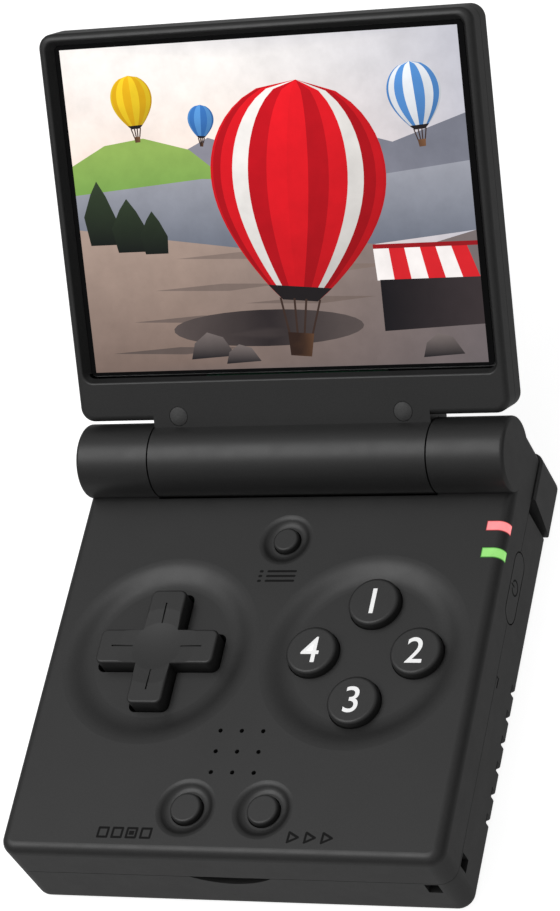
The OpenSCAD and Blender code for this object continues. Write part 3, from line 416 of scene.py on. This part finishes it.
def relief(name, polygons, place, body):
    """A dark mark as a thin solid plate with the polygons' outline; place(x, y, h) gives its points."""
    flat, faces = flatten(polygons)
    bm = bmesh.new()
    low = [bm.verts.new(place(p.x, p.y, 0.0)) for p in flat]
    for f, _ in faces:
        bm.faces.new([low[i] for i in f])
    bmesh.ops.recalc_face_normals(bm, faces=bm.faces)
    up = (Vector(place(0, 0, 1.0)) - Vector(place(0, 0, 0.0))).normalized()
    if sum(f.normal.dot(up) for f in bm.faces) < 0:
        bmesh.ops.reverse_faces(bm, faces=bm.faces)
    top = bmesh.ops.extrude_face_region(bm, geom=bm.faces[:])
    moved = [g for g in top["geom"] if isinstance(g, bmesh.types.BMVert)]
    bmesh.ops.translate(bm, verts=moved, vec=up * MARK_T * MM)
    bmesh.ops.delete(bm, geom=[v for v in bm.verts if not v.link_faces], context="VERTS")
    bmesh.ops.recalc_face_normals(bm, faces=bm.faces)
    mesh = bpy.data.meshes.new(name)
    bm.to_mesh(mesh)
    bm.free()
    mesh.materials.append(DARK_INK)
    add_object(name, mesh, body)


# ---------------------------------------------------------------- the picture on the screen

# The picture's size, and its lower left corner as a point of the lid
PIC_W, PIC_H = 78.3, 60.6
PIC_X0, PIC_S0, PIC_Z = -39.27, 17.03, -1.99
# Spacing of the points between which its colours blend
PIC_GRID = 2.6


def srgb(r, g, b):
    """Linear colour of three display values from 0 to 255."""
    return tuple(c / 12.92 if c <= 0.04045 else ((c + 0.055) / 1.055) ** 2.4
                 for c in (r / 255, g / 255, b / 255))


def blend3(a, b, t):
    """Colour a at t = 0, b at t = 1."""
    t = max(0.0, min(1.0, t))
    return tuple(x + (y - x) * t for x, y in zip(a, b))


def picture_layers():
    """Painter's list of (polygon, colour function of u, v): u across and v up from the lower left corner."""
    layers = []

    def put(poly, colour):
        layers.append((poly, colour if callable(colour) else (lambda u, v, c=colour: c)))

    peach, white, haze = srgb(252, 228, 214), srgb(255, 250, 246), srgb(196, 196, 206)
    put([(0, 0), (PIC_W, 0), (PIC_W, PIC_H), (0, PIC_H)],
        lambda u, v: blend3(blend3(peach, white, (v - 34) / 22), haze, (u - 30) / 50))
    # Far hills
    put([(0, 36), (9, 41), (18, 38.5), (28, 43), (40, 39), (52, 44), (64, 40.5), (PIC_W, 45), (PIC_W, 30),
         (0, 30)],
        lambda u, v: blend3(srgb(168, 164, 176), srgb(120, 122, 134), (u + v) / 110))
    # Meadow on the left hill
    put([(0, 39), (7, 42.5), (15, 43.5), (24, 41), (30, 36), (31, 32), (0, 30)],
        lambda u, v: blend3(srgb(112, 158, 78), srgb(150, 182, 92), (v - 30) / 12))
    # Lake
    put([(0, 33.5), (26, 35.5), (54, 34), (PIC_W, 36.5), (PIC_W, 24), (46, 21), (0, 25)],
        lambda u, v: blend3(srgb(104, 110, 124), srgb(156, 158, 168), (v - 21) / 15))
    # Sandy shore
    put([(0, 27), (14, 25), (32, 22.5), (50, 23.5), (66, 21), (PIC_W, 24), (PIC_W, 0), (0, 0)],
        lambda u, v: blend3(blend3(srgb(122, 104, 96), srgb(172, 150, 138), v / 26), srgb(104, 98, 102),
                            (u - 20) / 70))
    # Ripples in the sand
    for i in range(7):
        y = 3.5 + i * 2.9
        x = 4 + (i * 23) % 41
        put([(x, y), (x + 14, y + 0.9), (x + 26, y + 0.5), (x + 15, y - 0.5)],
            blend3(srgb(96, 84, 80), srgb(140, 122, 114), i / 7))

    def balloon(cx, cy, r, tones, count, tilt):
        """A balloon of count gores in the given tones, tilted by some degrees."""
        ct, st = math.cos(math.radians(tilt)), math.sin(math.radians(tilt))

        def at(x, y):
            return (cx + x * ct - y * st, cy + x * st + y * ct)

        def edge(k, t):
            """Point on gore line k (-1 left .. 1 right) at height t, 1 at the crown, -mouth at the mouth."""
            if t >= 0:
                half = math.sqrt(max(0.0, 1 - t * t))
            else:
                half = 0.2 + 0.8 * math.cos(-t / mouth * math.pi / 2) ** 0.9
            return at(r * half * k, r * t)

        mouth, rows = 1.35, 22
        ts = [1 - (1 + mouth) * i / rows for i in range(rows + 1)]
        for g in range(count):
            k0 = math.sin((g / count - 0.5) * math.pi)
            k1 = math.sin(((g + 1) / count - 0.5) * math.pi)
            poly = [edge(k0, t) for t in ts] + [edge(k1, t) for t in reversed(ts)]
            tone = tones[g % len(tones)]
            lit = 1.16 - 0.72 * abs((g + 0.5) / count - 0.36)
            put(poly, lambda u, v, c=tone, a=lit: tuple(
                min(1.0, q * (a * (0.72 + 0.36 * (v - cy + r) / (2 * r)))) for q in c))
        # Scoop, ropes and basket
        put([edge(-1, -1.2), edge(1, -1.2), edge(1, -mouth), edge(-1, -mouth)], srgb(30, 26, 28))
        for k in (-1, -0.3, 0.3, 1):
            a, b = edge(k, -1.33), at(r * 0.13 * k, -1.72 * r)
            w = max(0.12, r * 0.012)
            put([(a[0] - w, a[1]), (a[0] + w, a[1]), (b[0] + w, b[1]), (b[0] - w, b[1])], srgb(60, 44, 38))
        put([at(-0.15 * r, -1.7 * r), at(0.15 * r, -1.7 * r),
             at(0.12 * r, -1.95 * r), at(-0.12 * r, -1.95 * r)],
            lambda u, v: blend3(srgb(48, 32, 26), srgb(120, 84, 58), (u - cx + 0.15 * r) / (0.3 * r)))

    red, deep = srgb(226, 22, 34), srgb(188, 12, 26)
    balloon(13.5, 51.0, 4.2, [srgb(244, 206, 40), srgb(232, 178, 24)], 8, 3)
    balloon(27.0, 46.5, 2.6, [srgb(88, 150, 214), srgb(60, 118, 190)], 6, -4)
    balloon(69.0, 49.5, 5.2, [srgb(84, 142, 208), srgb(232, 236, 242)], 8, 4)
    # Wide shadow of the large balloon on the shore
    put(arc(36, 7.5, 19, 3.4, 0, 350, 30),
        lambda u, v: blend3(srgb(44, 38, 40), srgb(92, 82, 80), abs(u - 36) / 22))
    balloon(45.0, 35.5, 17.2, [red, deep, red, srgb(240, 236, 232), deep, red], 13, -5)
    # Striped awning at the right edge
    for i in range(6):
        put([(58.5 + i * 3.3, 15.5), (61.8 + i * 3.3, 15.5), (61.2 + i * 3.0, 21.5), (58.2 + i * 3.0, 21.5)],
            srgb(214, 34, 42) if i % 2 else srgb(246, 240, 238))
    put([(59, 15.6), (PIC_W, 15.6), (PIC_W, 7), (59, 6.2)],
        lambda u, v: blend3(srgb(22, 20, 24), srgb(58, 50, 52), (u - 59) / 20))
    put([(58.2, 21.3), (PIC_W, 21.3), (PIC_W, 22.1), (58.2, 22.1)], srgb(150, 20, 28))
    # Dark trees at the left
    for x, y, w, h in ((2, 24, 5.5, 12), (7.5, 22.5, 6, 10), (13, 22, 4.6, 8)):
        put([(x, y), (x - w * 0.15, y + h * 0.45), (x + w * 0.18, y + h * 0.8), (x + w * 0.45, y + h),
             (x + w * 0.74, y + h * 0.76), (x + w * 1.05, y + h * 0.4), (x + w, y)],
            lambda u, v, b=y: blend3(srgb(20, 24, 22), srgb(52, 66, 46), (v - b) / 12))
    # Rocks in front
    for x, y, w, h in ((20, 2, 9, 5), (27, 1, 7, 3.6), (66, 1.2, 8, 4.4)):
        put([(x, y), (x + w * 0.1, y + h * 0.6), (x + w * 0.4, y + h), (x + w * 0.75, y + h * 0.8),
             (x + w, y + h * 0.1)],
            lambda u, v, b=y, q=h: blend3(srgb(28, 26, 30), srgb(118, 108, 106), (v - b) / q))
    return layers


def clip(poly):
    """The part of the polygon inside the picture."""
    eps = 1e-4
    for axis, limit, keep in ((0, 0, 1), (0, PIC_W, -1), (1, 0, 1), (1, PIC_H, -1)):
        out = []
        for i, p in enumerate(poly):
            q = poly[(i + 1) % len(poly)]
            a, b = (p[axis] - limit) * keep, (q[axis] - limit) * keep
            if a >= 0:
                out.append(p)
            if (a > eps and b < -eps) or (a < -eps and b > eps):
                t = a / (a - b)
                out.append((p[0] + (q[0] - p[0]) * t, p[1] + (q[1] - p[1]) * t))
        poly = out
        if len(poly) < 3:
            return []
    return poly


def make_picture():
    kept = [(clip(poly), colour) for poly, colour in picture_layers()]
    kept = [(poly, colour) for poly, colour in kept if poly]
    # Every other row is shifted a little, so that the triangles between the rows are unambiguous
    grid = [(i * PIC_GRID + 0.31 * (j % 2), j * PIC_GRID)
            for i in range(1, int(PIC_W / PIC_GRID)) for j in range(1, int(PIC_H / PIC_GRID))]
    flat, faces = flatten([poly for poly, _ in kept], grid)
    points, polys, tones = [], [], []
    for face, own in faces:
        corners = [flat[i] for i in face]
        start = len(points)
        points += [lid_point(PIC_X0 + p.x, PIC_S0 + p.y, PIC_Z) for p in corners]
        polys.append(list(range(start, len(points))))
        tones += [(*kept[own][1](p.x, p.y), 1.0) for p in corners]
    mesh = bpy.data.meshes.new("screen_picture")
    mesh.from_pydata([tuple(p) for p in points], [], polys)
    paint = mesh.color_attributes.new("paint", "FLOAT_COLOR", "POINT")
    paint.data.foreach_set("color", [c for t in tones for c in t])
    mesh.materials.append(lit_picture())
    obj = add_object("screen_picture", mesh, "lid")
    obj.visible_diffuse = False
    obj.visible_glossy = False


# ---------------------------------------------------------------- marks

# Centre of the face buttons, their distance from it, and the height of their digits
FACE_X, FACE_Y, FACE_PITCH, DIGIT_Z = 20, -2.6, 10, 19.91
# Type size of the digits, their thickening and half their thickness
DIGIT_SIZE, DIGIT_BOLD, DIGIT_HALF_T = 7.35, 0.03, 0.01
# Thickness of a dark mark, how far it is sunk, and its slant
MARK_T, MARK_SUNK, MARK_SLANT = 0.02, 0.01, 0.06
# Middle of the power button's face
SIDE_X, POWER_Y, POWER_Z = 42.5, 15.4, 10.5
# Line widths of the marks
BOX_LINE, RING_LINE, LIST_DOT, LIST_LINE = 0.44, 0.36, 0.5, 0.46


def on_top(cx, cy):
    return lambda x, y, h: mm(cx + x + y * MARK_SLANT, cy + y, TOP_Z - MARK_SUNK + h)


def number(name, which, cx, cy, body):
    """A printed digit with a painted glow, as a thin flat mesh, centred in height on cy."""
    data = bpy.data.curves.new(name, "FONT")
    data.body = str(which)
    data.size = DIGIT_SIZE * MM
    data.offset = DIGIT_BOLD * MM
    data.extrude = DIGIT_HALF_T * MM
    data.align_x = "CENTER"
    data.resolution_u = 8
    curve = bpy.data.objects.new(name + "_curve", data)
    scene.collection.objects.link(curve)
    bpy.context.view_layer.update()
    mesh = bpy.data.meshes.new_from_object(curve.evaluated_get(bpy.context.evaluated_depsgraph_get()))
    bpy.data.objects.remove(curve)
    middle = (max(v.co.y for v in mesh.vertices) + min(v.co.y for v in mesh.vertices)) / 2
    mesh.transform(Matrix.Translation(mm(cx, cy, DIGIT_Z) - Vector((0, middle, 0))))
    mesh.materials.clear()
    mesh.materials.append(WHITE_INK_PAINTED_GLOW)
    add_object(name, mesh, body)


def make_marks():
    faces = (("top", 1, 0, 1), ("right", 2, 1, 0), ("bottom", 3, 0, -1), ("left", 4, -1, 0))
    for name, which, dx, dy in faces:
        number(f"digit_{name}", which, FACE_X + dx * FACE_PITCH, FACE_Y + dy * FACE_PITCH, f"face_{name}")
    # Menu: a list symbol
    rows = []
    for j in (-1, 0, 1):
        rows += stroke([(-3.4, j), (-3.1, j)], LIST_DOT)
        rows += stroke([(-1.9, j), (3.5, j)], LIST_LINE)
    relief("mark_menu", rows, on_top(-0.2, 12.95), "base")
    # Select: four boxes, one of them filled
    boxes = []
    for i in range(4):
        x = -4.2 + i * 2.8
        boxes += stroke([(x - 0.9, -0.9), (x + 0.9, -0.9), (x + 0.9, 0.9), (x - 0.9, 0.9)], BOX_LINE, True)
    boxes.append([(0.9, -0.4), (1.9, -0.4), (1.9, 0.4), (0.9, 0.4)])
    relief("mark_select", boxes, on_top(-18.1, -39.45), "base")
    # Start: three arrows
    arrows = []
    for i in range(3):
        x = -3.2 + i * 3.2
        arrows += stroke([(x - 0.9, -0.95), (x + 0.9, 0.0), (x - 0.9, 0.95)], BOX_LINE, True)
    relief("mark_start", arrows, on_top(17.55, -39.5), "base")
    # Power: a ring with a bar
    ring = stroke(arc(0, 0, 1.4, 1.4, 120, 420, 26), RING_LINE) + stroke([(0, 0.5), (0, 1.8)], RING_LINE)
    relief("mark_power", ring, lambda x, y, h: mm(SIDE_X - MARK_SUNK + h, POWER_Y + x, POWER_Z + y),
           "power")


# ---------------------------------------------------------------- floor and light

# Half the floor's width and how far it lies under the object, in metres
FLOOR_HALF, FLOOR_DROP = 3.0, 0.0002


def make_stage():
    n = Nodes("floor_paper")
    fibres = n.noise(90, 4.0, 0.6)
    colour = n.ramp(fibres.outputs["Fac"], [(0.3, grey(0.48)), (0.7, grey(0.52))])
    n.feed("Base Color", colour.outputs["Color"])
    n.set("Roughness", 0.9)
    n.set("Specular IOR Level", 0.0)
    n.set("Emission Color", grey(1))
    n.set("Emission Strength", 0.88)
    mesh = bpy.data.meshes.new("floor")
    corners = [(x * FLOOR_HALF, y * FLOOR_HALF, 0) for x, y in ((-1, -1), (1, -1), (1, 1), (-1, 1))]
    mesh.from_pydata(corners, [], [(0, 1, 2, 3)])
    mesh.materials.append(n.mat)
    obj = bpy.data.objects.new("floor", mesh)
    obj.location.z = -FLOOR_DROP
    obj.visible_glossy = False
    scene.collection.objects.link(obj)


# The softbox: place and aim in metres, side in metres, watts
SOFTBOX_AT, SOFTBOX_AIM = Vector((-0.408, -0.10, 0.955)), Vector((0, 0.037, 0.02))
SOFTBOX_SIDE, SOFTBOX_POWER = 0.66, 3.4
# The room's brightness by the height of a direction, -1 straight down to 1 straight up
ROOM = ((-0.75, 0.23), (-0.45, 0.33), (-0.02, 0.10), (0.35, 0.19), (0.55, 0.34), (0.8, 0.54))
# Which way the room is brighter, and by how much
ROOM_LEAN = (-0.3, -0.2, 0.0)


def make_softbox():
    data = bpy.data.lights.new("softbox_above", "AREA")
    data.energy = SOFTBOX_POWER
    data.size = SOFTBOX_SIDE
    obj = bpy.data.objects.new("softbox_above", data)
    obj.location = SOFTBOX_AT
    obj.rotation_euler = (SOFTBOX_AIM - SOFTBOX_AT).to_track_quat("-Z", "Y").to_euler()
    obj.visible_camera = False
    scene.collection.objects.link(obj)


def make_room():
    """A dim room whose brightness varies with height and a little with direction."""
    world = bpy.data.worlds.new("world")
    world.use_nodes = True
    tree = world.node_tree
    background = tree.nodes["Background"]
    coords = tree.nodes.new("ShaderNodeTexCoord")
    parts = tree.nodes.new("ShaderNodeSeparateXYZ")
    tree.links.new(coords.outputs["Generated"], parts.inputs["Vector"])
    height = tree.nodes.new("ShaderNodeMapRange")
    height.inputs["From Min"].default_value = -1.0
    tree.links.new(parts.outputs["Z"], height.inputs["Value"])
    ramp = tree.nodes.new("ShaderNodeValToRGB")
    for i, (z, v) in enumerate(ROOM):
        e = ramp.color_ramp.elements[i] if i < 2 else ramp.color_ramp.elements.new((z + 1) / 2)
        e.position = (z + 1) / 2
        e.color = grey(v)
    tree.links.new(height.outputs["Result"], ramp.inputs["Fac"])
    tree.links.new(ramp.outputs["Color"], background.inputs["Color"])
    lean = tree.nodes.new("ShaderNodeVectorMath")
    lean.operation = "DOT_PRODUCT"
    lean.inputs[1].default_value = ROOM_LEAN
    tree.links.new(coords.outputs["Generated"], lean.inputs[0])
    level = tree.nodes.new("ShaderNodeMath")
    level.inputs[1].default_value = 1.0
    tree.links.new(lean.outputs["Value"], level.inputs[0])
    tree.links.new(level.outputs["Value"], background.inputs["Strength"])
    scene.world = world


make_camera()
scene.view_settings.view_transform = "Standard"
dress_nodes()
make_picture()
make_marks()
make_stage()
make_room()
make_softbox()
